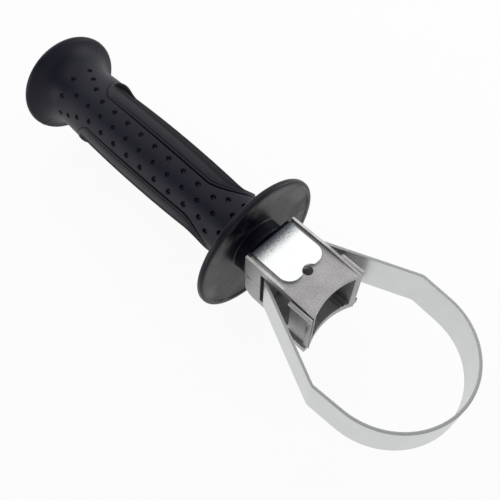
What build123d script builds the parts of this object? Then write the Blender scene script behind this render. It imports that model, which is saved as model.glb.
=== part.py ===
"""Side handle that clamps round the collar of a power tool.

Millimetres.  The origin is the centre of the tool's collar, +Z is the collar's axis and the
handle's axis is X, with the grip on the -X side.  The grip is a hard plastic core with a
guard disc, overmoulded with rubber.  A bolt through the cast clamp body pulls the steel
strap on to the collar when the grip, which holds the nut, is turned.
"""
from build123d import *
from math import acos, asin, atan2, cos, degrees, hypot, pi, radians, sin, sqrt, tan
import os

# Collar and strap
collar_r = 35.0
strap_w = 22.0
strap_t = 1.5
strap_stop_gap = 0.45
strap_root_y = 15.1
kink_x = 13.0
kink_y = 36.6
kink_bend_r = 4.0
flap_bend_r = 2.4
flap_reach = 8.5
flap_gap = 0.1

# Cast clamp body
body_length = 38.3
body_half_w = 15.6
body_half_h = 16.0
recess_floor_z = 14.3
rail_t = 1.3
rail_level_length = 22.0
top_wall_t = 2.5
side_wall_t = 2.4
rear_wall_t = 4.0
heel_r = 6.0
edge_r = 0.4
window_back = 9.8
window_length = 19.7
peep_hole_r = 2.5
peep_hole_set = 23.6
cheek_t = 1.3
cheek_rib_r = 1.4
foot_out = 3.0
foot_h = 3.6
floor_rib_w = 0.8
floor_rib_h = 0.8
floor_rib_y = 9.0
floor_rib_pitch = 2.2

# Bent thrust plate between the casting and the grip
plate_t = 1.5
plate_half_w = 12.2
plate_reach = 24.0
plate_drop = 10.0
plate_bend_r = 1.0
plate_lobe_r = 6.0
plate_notch_r = 4.0
plate_notch_set = 1.8
plate_notch_edge_r = 1.5

# Bolt and nut
bolt_r = 4.0
bolt_length = 50.0
bolt_head_r = 9.5
bolt_head_h = 4.4
bolt_head_rim = 1.2
bolt_chamfer = 0.8
neck_side = 8.0
neck_clear = 0.15
bolt_clear = 0.4
thread_clear = 0.05
nut_across = 13.0
nut_t = 6.5
nut_depth = 10.0
bore_spare = 12.0

# Grip core with its hub and guard disc
face_gap = 0.1
hub_r = 14.0
hub_h = 5.3
hub_edge_r = 1.2
guard_r = 37.0
guard_rim_t = 3.2
guard_root_t = 4.6
guard_edge_r = 1.2
guard_lip_w = 2.4
guard_lip_h = 0.7
guard_dish = 2.4
core_flange_r = 20.0
core_flange_t = 3.0
core_flange_set = 0.5

# Rubber grip
grip_length = 150.0
grip_neck_r = 16.6
grip_belly_r = 19.3
grip_waist_r = 17.9
grip_belly_from_butt = 66.0
grip_waist_run = 3.0
grip_shoulder_r = 2.5
flare_r = 28.0
flare_curve_r = 13.0
butt_edge_r = 2.0
soft_t = 3.0
grip_roll = 33.0

# Side panels of the core that show through the rubber
panel_half_turn = 60.0
panel_end_turn = 60.6
panel_root = 4.0
panel_guard_gap = 15.0
panel_guard_taper = 23.0
panel_butt_gap = 29.0
panel_butt_taper = 13.0
groove_w = 0.8
groove_d = 0.9
recess_half_h = 10.0
recess_guard_gap = 18.5
recess_guard_taper = 15.5
recess_butt_gap = 32.0
recess_corner_r = 4.0
recess_d = 2.6

# Dimples of the rubber's crowns
dimple_r = 1.5
dimple_floor_r = 0.9
dimple_d = 1.2
dimple_sides = 12
dimple_pitch = 10.45
dimple_first = 20.9
dimple_last = 24.0
dimple_row_turn = 19.0
guard_fan = ((12.7, 17.5), (12.7, 43.0), (20.1, 32.0))
butt_fan = ((31.1, 28.5), (23.7, 40.0), (16.2, 50.0), (15.5, 17.0))

# Stations along the handle
body_back = -collar_r - body_length
hub_face = body_back - plate_t - face_gap
guard_face = hub_face - hub_h
grip_start = guard_face - guard_root_t
butt_rim = guard_face - grip_length
butt_face = butt_rim - butt_edge_r
strap_mid_r = collar_r + strap_t / 2
cavity_half_h = recess_floor_z - top_wall_t
cavity_half_w = body_half_w - side_wall_t
flap_x = body_back + window_back + strap_stop_gap + strap_t / 2
head_seat = flap_x + 1.5 * strap_t + flap_gap
bolt_end = head_seat - bolt_length
flare_span = flare_curve_r + butt_edge_r
flare_turn = acos((grip_waist_r + flare_span - flare_r) / flare_span)
flare_x = butt_rim + flare_span * sin(flare_turn)
waist_x = flare_x + grip_waist_run
belly_x = butt_rim + grip_belly_from_butt
neck_x = grip_start - grip_shoulder_r

flank_plane = Plane.XZ.rotated((grip_roll, 0, 0))

os.makedirs("parts", exist_ok=True)

# Long curve of the grip from its neck over its belly to its waist, drawn flat
with BuildLine() as belly_curve:
    belly = ThreePointArc((neck_x, grip_neck_r), (belly_x, grip_belly_r), (waist_x, grip_waist_r))

# Rubber form: the grip's outside turned about its axis, from the guard to the butt
with BuildPart() as rubber_form:
    with BuildSketch(Plane.XZ):
        with BuildLine():
            CenterArc((neck_x, grip_neck_r - grip_shoulder_r), grip_shoulder_r, 0, 90)
            add(belly_curve.line)
            Line((waist_x, grip_waist_r), (flare_x, grip_waist_r))
            flare_middle = (flare_x, grip_waist_r + flare_curve_r)
            CenterArc(flare_middle, flare_curve_r, -90, -degrees(flare_turn))
            rim_middle = (butt_rim, flare_r - butt_edge_r)
            CenterArc(rim_middle, butt_edge_r, 90 - degrees(flare_turn), 90 + degrees(flare_turn))
            Polyline(
                (butt_face, flare_r - butt_edge_r),
                (butt_face, 0),
                (grip_start, 0),
                (grip_start, grip_neck_r - grip_shoulder_r),
            )
        make_face()
    revolve(axis=Axis.X)


# Radius of the grip's outside at a station, and how far its surface leans towards the guard
def grip_surface(x):
    if x > waist_x:
        middle = belly.arc_center
        radius = middle.Y + sqrt(belly.radius**2 - (x - middle.X) ** 2)
        return radius, degrees(asin((x - middle.X) / belly.radius))
    if x > flare_x:
        return grip_waist_r, 0.0
    run = flare_x - x
    lean = degrees(asin(run / flare_curve_r))
    return grip_waist_r + flare_curve_r - sqrt(flare_curve_r**2 - run**2), lean


# The long middle of the grip, lowered by a depth all round
def belly_form(depth):
    with BuildPart() as form:
        with BuildSketch(Plane.XZ):
            with BuildLine():
                ThreePointArc(
                    (neck_x, grip_neck_r - depth),
                    (belly_x, grip_belly_r - depth),
                    (waist_x, grip_waist_r - depth),
                )
                Polyline(
                    (waist_x, grip_waist_r - depth),
                    (waist_x, 0),
                    (neck_x, 0),
                    (neck_x, grip_neck_r - depth),
                )
            make_face()
        revolve(axis=Axis.X)
    return form.part


# Side panel outline, drawn flat, with its edge moved in by a margin. Its long edges follow the
# grip's belly, so they stay at one angle from the crowns.
def panel_outline(margin):
    guard_middle = guard_face - panel_guard_gap - panel_guard_taper
    butt_middle = butt_rim + panel_butt_gap + panel_butt_taper
    lift = sin(radians(panel_end_turn))
    stations = (guard_middle, belly_x, butt_middle)
    guard_h, belly_h, butt_h = (grip_surface(x)[0] * lift - margin for x in stations)
    with BuildSketch() as outline:
        with BuildLine():
            guard_l = panel_guard_taper - margin
            EllipticalCenterArc((guard_middle, 0), guard_l, guard_h, -90, arc_size=180)
            ThreePointArc((guard_middle, guard_h), (belly_x, belly_h), (butt_middle, butt_h))
            butt_l = panel_butt_taper - margin
            EllipticalCenterArc((butt_middle, 0), butt_l, butt_h, 90, arc_size=180)
            ThreePointArc((butt_middle, -butt_h), (belly_x, -belly_h), (guard_middle, -guard_h))
        make_face()
    return outline.sketch


# The room of the two side panels, from inside the core's tube outwards. Its long walls point at
# the handle's axis, moved in by a margin, and its ends follow the panel's outline.
def panel_room(margin):
    slope = tan(radians(panel_half_turn))
    apex = margin / sin(radians(panel_half_turn))
    crown = (0, -sin(radians(grip_roll)), cos(radians(grip_roll)))
    with BuildPart() as room:
        with BuildSketch(Plane(origin=(waist_x, 0, 0), x_dir=crown, z_dir=(1, 0, 0))):
            for side in (-1, 1):
                root_half = (panel_root - apex) * slope
                far_half = (flare_r - apex) * slope
                with BuildLine():
                    Polyline(
                        (root_half, side * panel_root),
                        (far_half, side * flare_r),
                        (-far_half, side * flare_r),
                        (-root_half, side * panel_root),
                        close=True,
                    )
                make_face()
        extrude(amount=neck_x - waist_x)
        with BuildSketch(flank_plane.offset(-flare_r)):
            add(panel_outline(margin))
        extrude(amount=2 * flare_r, mode=Mode.INTERSECT)
    return room.part


# Outline of the finger recess in the middle of each side panel, drawn flat
with BuildSketch() as recess_outline:
    recess_guard_end = guard_face - recess_guard_gap
    recess_butt_end = butt_rim + recess_butt_gap
    with Locations((recess_butt_end, 0)):
        recess_straight = recess_guard_end - recess_guard_taper - recess_butt_end
        Rectangle(recess_straight, 2 * recess_half_h, align=(Align.MIN, Align.CENTER))
    fillet(recess_outline.vertices().group_by(Axis.X)[0], recess_corner_r)
    with Locations((recess_guard_end - recess_guard_taper, 0)):
        Ellipse(recess_guard_taper, recess_half_h)


# Side panels: pads as high as the rubber, with a groove round their edge and a finger recess
with BuildPart() as groove_cutter:
    add(panel_room(-groove_w))
    add([belly_form(groove_d), panel_room(groove_w)], mode=Mode.SUBTRACT)
with BuildPart() as recess_cutter:
    with BuildSketch(flank_plane.offset(-flare_r)):
        add(recess_outline.sketch)
    extrude(amount=2 * flare_r)
    add(belly_form(recess_d), mode=Mode.SUBTRACT)
with BuildPart() as side_pads:
    add(belly_form(0))
    add(panel_room(0), mode=Mode.INTERSECT)
    add([groove_cutter.part, recess_cutter.part], mode=Mode.SUBTRACT)

# Half section of the core, drawn flat with its radius upwards
with BuildSketch() as core_section:
    dish_r = guard_r - guard_lip_w
    flange_x = butt_rim + core_flange_set
    with BuildLine():
        Polyline(
            (hub_face, 0),
            (hub_face, hub_r),
            (guard_face - guard_dish, hub_r),
            (guard_face - guard_lip_h, dish_r - guard_lip_h),
            (guard_face, dish_r),
            (guard_face, guard_r),
            (guard_face - guard_rim_t, guard_r),
            (grip_start, grip_neck_r),
            (grip_start, grip_neck_r - soft_t),
            (belly_x, grip_belly_r - soft_t),
            (flange_x + core_flange_t, grip_waist_r - soft_t),
            (flange_x + core_flange_t, core_flange_r),
            (flange_x, core_flange_r),
            (flange_x, 0),
            close=True,
        )
    make_face()
    fillet(core_section.vertices().group_by(Axis.Y)[-1], guard_edge_r)
    fillet(core_section.vertices().sort_by_distance((hub_face, hub_r))[0], hub_edge_r)

with BuildPart() as core_form:
    with BuildSketch(Plane.XZ):
        add(core_section.sketch)
    revolve(axis=Axis.X)

# Hard core: hub, guard disc, tube and side panels, with the nut moulded into the hub
nut_front = hub_face - nut_depth
with BuildPart() as grip_core:
    add([core_form.part, side_pads.part])
    with BuildSketch(Plane.YZ.offset(hub_face)):
        Circle(bolt_r + bolt_clear)
    extrude(amount=-(hub_face - bolt_end + bore_spare), mode=Mode.SUBTRACT)
    with BuildSketch(Plane.YZ.offset(nut_front)):
        RegularPolygon(nut_across / 2, 6, major_radius=False)
    extrude(amount=-nut_t, mode=Mode.SUBTRACT)
grip_core.part.label = "grip_core"
export_step(grip_core.part, "parts/grip_core.step")

with BuildPart() as captive_nut:
    with BuildSketch(Plane.YZ.offset(nut_front)):
        RegularPolygon(nut_across / 2, 6, major_radius=False)
        Circle(bolt_r + thread_clear, mode=Mode.SUBTRACT)
    extrude(amount=-nut_t)
captive_nut.part.label = "captive_nut"
export_step(captive_nut.part, "parts/captive_nut.step")


# Stations and turns of one crown's dimples: three staggered rows that fan out at both ends
def dimple_places():
    rows = int((grip_length - dimple_first - dimple_last) / dimple_pitch) + 1
    places = []
    for k in range(rows):
        places.append((guard_face - dimple_first - k * dimple_pitch, 0.0))
    for k in range(rows - 2):
        x = guard_face - dimple_first - (k + 0.5) * dimple_pitch
        places.append((x, dimple_row_turn))
        places.append((x, -dimple_row_turn))
    for gap, turn in guard_fan:
        places.append((guard_face - gap, turn))
        places.append((guard_face - gap, -turn))
    for gap, turn in butt_fan:
        places.append((butt_rim + gap, turn))
        places.append((butt_rim + gap, -turn))
    return places


# Cutter of one dimple: a tapered pocket with many flat sides, as tall outside the rubber as in it
dimple_rings = []
for radius, height in ((dimple_floor_r, -dimple_d), (2 * dimple_r - dimple_floor_r, dimple_d)):
    turns = [2 * pi * k / dimple_sides for k in range(dimple_sides)]
    dimple_rings.append([Vector(radius * cos(t), radius * sin(t), height) for t in turns])
dimple_faces = [Face(Wire.make_polygon(ring)) for ring in dimple_rings]
for k in range(dimple_sides):
    floor_ring, top_ring = dimple_rings
    corners = [floor_ring[k - 1], floor_ring[k], top_ring[k], top_ring[k - 1]]
    dimple_faces.append(Face(Wire.make_polygon(corners)))
dimple_cutter = Solid(Shell(dimple_faces))

# Rubber grip, moulded over the core, open over the side panels and dimpled on both crowns
with BuildPart() as soft_grip:
    add(rubber_form.part)
    add([panel_room(0), core_form.part], mode=Mode.SUBTRACT)
    dimples = []
    for x, turn in dimple_places():
        radius, lean = grip_surface(x)
        for side in (0, 180):
            around = Location((0, 0, 0), (grip_roll + turn + side, 0, 0))
            seat = around * Location((x, 0, radius), (0, lean, 0))
            dimples.append(dimple_cutter.moved(seat))
    add(dimples, mode=Mode.SUBTRACT)
soft_grip.part.label = "soft_grip"
export_step(soft_grip.part, "parts/soft_grip.step")

# Thrust plate: an angle of bright sheet, its long leg in the casting's recess
with BuildPart() as thrust_plate:
    plate_back = body_back - plate_t
    plate_top = recess_floor_z + plate_t
    plate_front = body_back + plate_reach
    with BuildSketch(Plane.XZ):
        with BuildLine():
            Polyline(
                (body_back, -plate_drop),
                (plate_back, -plate_drop),
                (plate_back, plate_top),
                (plate_front, plate_top),
                (plate_front, recess_floor_z),
                (body_back, recess_floor_z),
                close=True,
            )
        make_face()
    extrude(amount=plate_half_w, both=True)
    bend_edges = thrust_plate.edges().filter_by(Axis.Y)
    fillet(bend_edges.sort_by_distance((body_back, 0, recess_floor_z))[0], plate_bend_r)
    bend_edges = thrust_plate.edges().filter_by(Axis.Y)
    fillet(bend_edges.sort_by_distance((plate_back, 0, plate_top))[0], plate_bend_r + plate_t)
    lobe_edges = thrust_plate.edges().filter_by(Axis.Z).group_by(Axis.X)[-1]
    fillet(lobe_edges, plate_lobe_r)
    with BuildSketch(Plane.XY.offset(recess_floor_z)):
        with Locations((body_back + peep_hole_set + plate_notch_set, 0)):
            Circle(plate_notch_r)
    extrude(amount=plate_t, mode=Mode.SUBTRACT)
    fillet(thrust_plate.edges().filter_by(Axis.Z).group_by(Axis.X)[-1], plate_notch_edge_r)
    with BuildSketch(Plane.YZ.offset(plate_back)):
        Circle(bolt_r + bolt_clear)
    extrude(amount=plate_t, mode=Mode.SUBTRACT)
thrust_plate.part.label = "thrust_plate"
export_step(thrust_plate.part, "parts/thrust_plate.step")

# Cast clamp body: a hollow block with a saddle at its mouth and a window in each side
with BuildPart() as clamp_body:
    saddle_end = -sqrt(collar_r**2 - body_half_w**2)
    mouth_x = saddle_end + edge_r
    cheek_front = saddle_end - edge_r
    cheek_back = body_back + window_back + window_length
    block_depth = 2 * body_half_w
    with BuildSketch(Plane.XZ.offset(-body_half_w)):
        with BuildLine():
            Polyline(
                (body_back, -body_half_h + heel_r),
                (body_back, body_half_h),
                (body_back + rail_level_length, body_half_h),
                (mouth_x, recess_floor_z),
                (mouth_x, -body_half_h),
                (body_back + heel_r, -body_half_h),
            )
            RadiusArc((body_back + heel_r, -body_half_h), (body_back, -body_half_h + heel_r), heel_r)
        make_face()
    extrude(amount=block_depth)

    # Recess for the plate between the two rails, with a rounded rear lip under the plate's bend
    with BuildSketch(Plane.XY.offset(recess_floor_z)):
        with Locations((body_back, 0)):
            recess_half_w = body_half_w - rail_t
            Rectangle(mouth_x - body_back, 2 * recess_half_w, align=(Align.MIN, Align.CENTER))
    extrude(amount=body_half_h, mode=Mode.SUBTRACT)
    rear_edges = clamp_body.edges().filter_by(Axis.Y)
    fillet(rear_edges.sort_by_distance((body_back, 0, recess_floor_z))[0], plate_bend_r + edge_r)

    # Cheeks beside the mouth, with a rounded rib along the top and a foot along the bottom
    cheek_length = cheek_front - cheek_back
    cheek_top = recess_floor_z - cheek_rib_r
    for side in (-1, 1):
        with BuildSketch(Plane.XZ.offset(-side * body_half_w)):
            with Locations((cheek_back, -body_half_h)):
                Rectangle(cheek_length, body_half_h + cheek_top, align=(Align.MIN, Align.MIN))
        extrude(amount=-side * cheek_t)
        with BuildSketch(Plane.YZ.offset(cheek_back)):
            with Locations((side * (body_half_w + cheek_t), cheek_top)):
                Circle(cheek_rib_r)
        extrude(amount=cheek_length)
        with Locations((cheek_back, side * (body_half_w + cheek_t), cheek_top)):
            Sphere(cheek_rib_r)
        with BuildSketch(Plane.XY.offset(-body_half_h)):
            with Locations((cheek_back, side * body_half_w)):
                foot_side = Align.MIN if side > 0 else Align.MAX
                Rectangle(cheek_length, foot_out, align=(Align.MIN, foot_side))
        extrude(amount=foot_h)

    # Hollow, with two pairs of guide ribs along its floor
    with BuildSketch(Plane.YZ.offset(body_back + rear_wall_t)):
        RectangleRounded(2 * cavity_half_w, 2 * cavity_half_h, edge_r)
    extrude(amount=body_length, mode=Mode.SUBTRACT)
    with BuildSketch(Plane.XY.offset(-cavity_half_h)):
        for side in (-1, 1):
            for k in (0, 1):
                with Locations((mouth_x, side * (floor_rib_y + k * floor_rib_pitch))):
                    Rectangle(mouth_x - cheek_back, floor_rib_w, align=(Align.MAX, Align.CENTER))
    extrude(amount=floor_rib_h)

    # Windows for the strap, rear hole for the bolt and the small hole in the recess floor
    with BuildSketch(Plane.XZ.offset(-2 * body_half_w)):
        with Locations((body_back + window_back, 0)):
            Rectangle(window_length, 2 * cavity_half_h, align=(Align.MIN, Align.CENTER))
    extrude(amount=4 * body_half_w, mode=Mode.SUBTRACT)
    with BuildSketch(Plane.YZ.offset(body_back)):
        Circle(bolt_r + bolt_clear)
    extrude(amount=rear_wall_t, mode=Mode.SUBTRACT)
    with BuildSketch(Plane.XY.offset(cavity_half_h)):
        with Locations((body_back + peep_hole_set, 0)):
            Circle(peep_hole_r)
    extrude(amount=top_wall_t, mode=Mode.SUBTRACT)

    # Saddle that the collar beds in
    with BuildSketch(Plane.XY.offset(-body_half_h)):
        Circle(collar_r)
    extrude(amount=2 * body_half_h, mode=Mode.SUBTRACT)
clamp_body.part.label = "clamp_body"
export_step(clamp_body.part, "parts/clamp_body.step")

# Strap: flat steel bent to a drop-shaped loop, its ends turned in one behind the other
kink_turn = degrees(atan2(kink_y, -kink_x))
touch_turn = kink_turn - degrees(acos(strap_mid_r / hypot(kink_x, kink_y)))
touch = (strap_mid_r * cos(radians(touch_turn)), strap_mid_r * sin(radians(touch_turn)))
leg_slope = (kink_y - strap_root_y) / (-kink_x - flap_x)
front_flap_x = flap_x + strap_t + flap_gap
with BuildPart() as clamp_strap:
    with BuildLine() as strap_path:
        FilletPolyline(
            (flap_x, -flap_reach),
            (flap_x, strap_root_y),
            (-kink_x, kink_y),
            touch,
            radius=[flap_bend_r, kink_bend_r],
        )
        CenterArc((0, 0), strap_mid_r, touch_turn, -2 * touch_turn)
        FilletPolyline(
            (touch[0], -touch[1]),
            (-kink_x, -kink_y),
            (front_flap_x, -strap_root_y - (front_flap_x - flap_x) * leg_slope),
            (front_flap_x, flap_reach),
            radius=[kink_bend_r, flap_bend_r],
        )
    with BuildSketch(Plane(origin=(flap_x, -flap_reach, 0), x_dir=(1, 0, 0), z_dir=(0, 1, 0))):
        Rectangle(strap_t, strap_w)
    sweep(path=strap_path.wire())
    with BuildSketch(Plane.YZ.offset(flap_x - strap_t)):
        Rectangle(neck_side + 2 * neck_clear, neck_side + 2 * neck_clear)
    extrude(amount=3 * strap_t, mode=Mode.SUBTRACT)
clamp_strap.part.label = "clamp_strap"
export_step(clamp_strap.part, "parts/clamp_strap.step")

# Cup-head bolt whose square neck sits in both ends of the strap
with BuildPart() as clamp_bolt:
    with BuildSketch(Plane.XZ):
        with BuildLine():
            dome_h = bolt_head_h - bolt_head_rim
            dome_r = (bolt_head_r**2 + dome_h**2) / (2 * dome_h)
            rim_edge = (head_seat + bolt_head_rim, bolt_head_r)
            head_top = (head_seat + bolt_head_h, 0)
            RadiusArc(head_top, rim_edge, -dome_r)
            Polyline(rim_edge, (head_seat, bolt_head_r), (head_seat, 0), head_top)
        make_face()
    revolve(axis=Axis.X)
    with BuildSketch(Plane.YZ.offset(head_seat)):
        Rectangle(neck_side, neck_side)
    extrude(amount=-(2 * strap_t + flap_gap))
    with BuildSketch(Plane.YZ.offset(head_seat)):
        Circle(bolt_r)
    extrude(amount=-bolt_length)
    chamfer(clamp_bolt.edges().group_by(Axis.X)[0], bolt_chamfer)
clamp_bolt.part.label = "clamp_bolt"
export_step(clamp_bolt.part, "parts/clamp_bolt.step")
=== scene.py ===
"""Looks of a power tool's side handle: rubber grip, guard, cast clamp, bright plate and strap.

Run as a script, it builds every visible piece around the fixed frame and sets the stage.
Lengths are in metres.  The handle's axis is X, the collar's axis is Z, and the crowns of
the grip are turned from Z towards -Y by the grip's roll.
"""

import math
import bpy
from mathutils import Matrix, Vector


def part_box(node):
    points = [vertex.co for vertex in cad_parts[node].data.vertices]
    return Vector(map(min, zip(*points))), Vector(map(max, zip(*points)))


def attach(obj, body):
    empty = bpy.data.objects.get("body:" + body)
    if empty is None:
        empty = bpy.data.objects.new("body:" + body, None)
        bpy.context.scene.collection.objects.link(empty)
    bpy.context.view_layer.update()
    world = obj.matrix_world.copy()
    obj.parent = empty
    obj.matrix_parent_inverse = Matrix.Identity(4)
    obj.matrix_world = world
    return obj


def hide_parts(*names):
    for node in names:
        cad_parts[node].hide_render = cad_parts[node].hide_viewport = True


bl_info = {
    "name": "Side Handle",
    "version": (1, 0, 0),
    "blender": (4, 5, 0),
    "location": "View3D > Sidebar > Side Handle",
    "description": "Builds the visible pieces and finishes of a power tool side handle",
    "category": "Object",
}

from functools import partial

import bmesh
import bpy
import numpy as np
from bpy.props import FloatProperty, FloatVectorProperty, PointerProperty
from bpy.types import Operator, Panel, PropertyGroup
from mathutils import Matrix, Vector
from mathutils.geometry import delaunay_2d_cdt

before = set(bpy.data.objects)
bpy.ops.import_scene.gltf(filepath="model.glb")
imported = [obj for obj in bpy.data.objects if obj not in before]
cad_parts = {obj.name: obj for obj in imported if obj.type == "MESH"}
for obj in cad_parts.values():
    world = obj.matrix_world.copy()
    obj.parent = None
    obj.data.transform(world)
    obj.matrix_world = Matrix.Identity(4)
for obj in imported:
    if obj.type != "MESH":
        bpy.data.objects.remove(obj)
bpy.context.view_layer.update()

MM = 0.001
MERGE = 0.00001
QUARTER = math.pi / 2

core_low, core_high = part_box("grip_core")
rubber_low, rubber_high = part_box("soft_grip")
bolt_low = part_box("clamp_bolt")[0]

# Grip: stations along the handle and radii of the rubber
GRIP_ROLL = math.radians(33)
BUTT_FACE = rubber_low.x
BUTT_EDGE_R = 2 * MM
BUTT_RIM = BUTT_FACE + BUTT_EDGE_R
GRIP_START = rubber_high.x
FLARE_R = rubber_high.z
FLARE_CURVE_R = 13 * MM
NECK_R = 16.6 * MM
BELLY_R = 19.3 * MM
WAIST_R = 17.9 * MM
SHOULDER_R = 2.5 * MM
WAIST_RUN = 3 * MM
BELLY_FROM_BUTT = 66 * MM
SOFT_T = 3 * MM
SOFT_END_T = 2 * MM
SOFT_GROWTH = 0.2
FLARE_SPAN = FLARE_CURVE_R + BUTT_EDGE_R
FLARE_TURN = math.acos((WAIST_R + FLARE_SPAN - FLARE_R) / FLARE_SPAN)
FLARE_X = BUTT_RIM + FLARE_SPAN * math.sin(FLARE_TURN)
WAIST_X = FLARE_X + WAIST_RUN
BELLY_X = BUTT_RIM + BELLY_FROM_BUTT
NECK_X = GRIP_START - SHOULDER_R
SHOULDER_STEPS = 8
BELLY_STEPS = 140
FLARE_STEPS = 16
BUTT_STEPS = 12
BUTT_RINGS = (20 * MM, 10 * MM, 0)

# Guard disc and hub
HUB_FACE = core_high.x
GUARD_R = core_high.z
HUB_R = 14 * MM
HUB_EDGE_R = 1.2 * MM
GUARD_FACE = GRIP_START + 4.6 * MM
GUARD_RIM_T = 3.2 * MM
GUARD_EDGE_R = 1.2 * MM
GUARD_LIP_W = 2.4 * MM
GUARD_LIP_H = 0.7 * MM
GUARD_DISH = 2.4 * MM
GUARD_LIP_EDGE_R = 0.3 * MM
DISH_FILLET_R = 0.6 * MM
HUB_FILLET_R = 0.8 * MM
CORE_END = core_low.x
CORE_FLANGE_R = 20 * MM
CORE_FLANGE_T = 3 * MM
BORE_R = 4.4 * MM
BORE_END = bolt_low.x - 12 * MM
CORE_CREASE = math.radians(50)
LATHE_STEPS = 128
CORNER_STEPS = 8

# Side panels with their groove and finger recess
PANEL_HALF_TURN = math.radians(60)
PANEL_END_TURN = math.radians(60.6)
PANEL_GUARD_END = GUARD_FACE - 15 * MM
PANEL_GUARD_TAPER = 23 * MM
PANEL_BUTT_END = BUTT_RIM + 29 * MM
PANEL_BUTT_TAPER = 13 * MM
PANEL_GUARD_MIDDLE = PANEL_GUARD_END - PANEL_GUARD_TAPER
PANEL_BUTT_MIDDLE = PANEL_BUTT_END + PANEL_BUTT_TAPER
PANEL_STEPS = 26
RECESS_HALF_H = 10 * MM
RECESS_GUARD_END = GUARD_FACE - 18.5 * MM
RECESS_GUARD_TAPER = 15.5 * MM
RECESS_BUTT_END = BUTT_RIM + 32 * MM
RECESS_CORNER_R = 4 * MM
RECESS_MIDDLE = RECESS_GUARD_END - RECESS_GUARD_TAPER
RECESS_CORNER_X = RECESS_BUTT_END + RECESS_CORNER_R
RECESS_CORNER_H = RECESS_HALF_H - RECESS_CORNER_R
RECESS_STEPS = 20
RECESS_CORNER_STEPS = 7

# Rows across an edge, in mm: how far in from the outline, and how deep under the grip's surface
RUBBER_LIP_ROWS = ((-0.9, 0.0), (-0.5, 0.03), (-0.2, 0.14), (-0.04, 0.36), (0.0, 0.6))
GROOVE_ROWS = (
    (0.0, 0.9), (0.55, 0.92), (0.7, 0.72), (0.8, 0.36), (0.95, 0.1), (1.15, 0.0),
    (1.7, 0.0), (1.82, 0.08), (1.9, 0.4), (2.2, 0.42), (2.3, 0.1), (2.5, 0.0),
)
RECESS_ROWS = (
    (-0.68, 0.0), (-0.5, -0.2), (-0.36, -0.44), (-0.16, -0.46), (-0.02, -0.22),
    (0.05, 0.5), (0.12, 1.4), (0.35, 2.3), (0.9, 2.6),
)
# The panel's rows close up and grow shallow towards the butt end
EDGE_PLACES = (
    PANEL_BUTT_END, PANEL_BUTT_END + 25 * MM, PANEL_GUARD_END - 10 * MM, PANEL_GUARD_END,
)
EDGE_WIDTHS = (0.2, 1.0, 1.0, 0.8)
EDGE_FADE_RUN = 60 * MM
EDGE_FADE_DEPTH = 0.3
PAD_BACK = 5 * MM

# Depth at which the core counts as fully sunk, how dark the painted shade in the recess is there, and the
# run in which the painted reflection on the guard's face thickens
SUNK_DEPTH = 0.8 * MM
PAINTED_RECESS_SHADE = 0.4
GUARD_REFLECTION_SPREAD = 21 * MM

# Dimples of one crown: fans in mm and degrees off the crown's middle, rings of points in mm
DIMPLE_PITCH = 10.45 * MM
DIMPLE_FIRST = 20.9 * MM
DIMPLE_LAST = 24 * MM
DIMPLE_ROW_TURN = 19
GUARD_FAN = ((12.7, 17.5), (12.7, 43.0), (20.1, 32.0))
BUTT_FAN = ((31.1, 28.5), (23.7, 40.0), (16.2, 50.0), (15.5, 17.0))
DIMPLE_RINGS = (0.45, 0.78, 0.95, 1.1, 1.25, 1.4, 1.52, 1.64, 1.8, 2.1)
DIMPLE_RING_POINTS = 20
DIMPLE_CLEAR = 0.5

# Raised rims down the casting's cheeks, its rails, and the mould's parting line on its rear block
CHEEK_SIDE = 16.9 * MM
CHEEK_FRONT = -31.83 * MM
CHEEK_RIM_R = 1.0 * MM
CHEEK_LOW = -13.0 * MM
CHEEK_HIGH = 12.9 * MM
RAIL_TOP = 15.9 * MM
BLOCK_SIDE = 15.6 * MM
BLOCK_REAR = -72.4 * MM
BLOCK_FRONT = -63.9 * MM
SEAM_R = 0.3 * MM
SEAM_SUNK = 0.16 * MM
ROD_SIDES = 24

# Rounding of the edges taken over from the frame
EASED_ANGLE = math.radians(30)
EASED_SEGMENTS = 2

# Height of the strap's cut edges
STRAP_EDGE_Z = 10.96 * MM

# Painted reflection of the dark guard on the plate's rear: where it starts to thin, where it ends, and
# how ragged it is
PLATE_REFLECTION_FROM = -72 * MM
PLATE_REFLECTION_TO = -64.5 * MM
PLATE_REFLECTION_GRAIN = 6 * MM

# Grid of points on the skin, and how far it keeps from the rows along an edge
SKIN_STEP = 1.6 * MM
SKIN_R = 18 * MM
HALF_TURN_STEPS = 44
PAD_HALF_COLUMNS = 13
PANEL_CLEAR = 0.6
RUBBER_CLEAR = 1.5 * MM
RECESS_CLEAR_IN = 1.6 * MM
RECESS_CLEAR_OUT = 1.4 * MM
SEAM_TOLERANCE = 1e-6
MAP_TOLERANCE = 1e-5
PARTING_H = 0.12 * MM
PARTING_W = 0.45 * MM

# Stage
CAMERA_PLACE = (34.30 * MM, -121.17 * MM, 265.46 * MM)
CAMERA_TURN = (31.732, -0.496, 45.565)
CAMERA_LENS = 47.28
CAMERA_NEAR = 0.01
FLOOR_Z = -GUARD_R
STUDIO_HALF = 3.0
WALL_TOP = 1.5
FLOOR_GLOW = 0.93
LAMP_AIM = Vector((-0.05, 0.0, 0.0))
# Each lamp's name, the setting of its power, its width, and its place from the aim
LAMPS = (
    ("key_lamp", "key_power", 1.0, (-0.32, 0.19, 0.52)),
    ("side_lamp", "side_power", 0.4, (-0.3, -0.55, 0.05)),
    ("back_lamp", "back_power", 0.4, (0.14, 0.55, 0.2)),
)

# Finishes: how far colour and roughness vary, strength of the relief, and how rubs end and dull
MOULDED_SPREAD = 0.3
MOULDED_SHEEN = 0.08
MOULDED_BUMP = 0.6
METAL_SHEEN = 0.06
METAL_BUMP = 0.5
RUB_EDGE = 0.1
RUB_ROUGH = 0.12

# A Mix node's two inputs and its result, by number
MIX_SOCKETS = {"RGBA": (6, 7, 2), "FLOAT": (2, 3, 0)}


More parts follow.
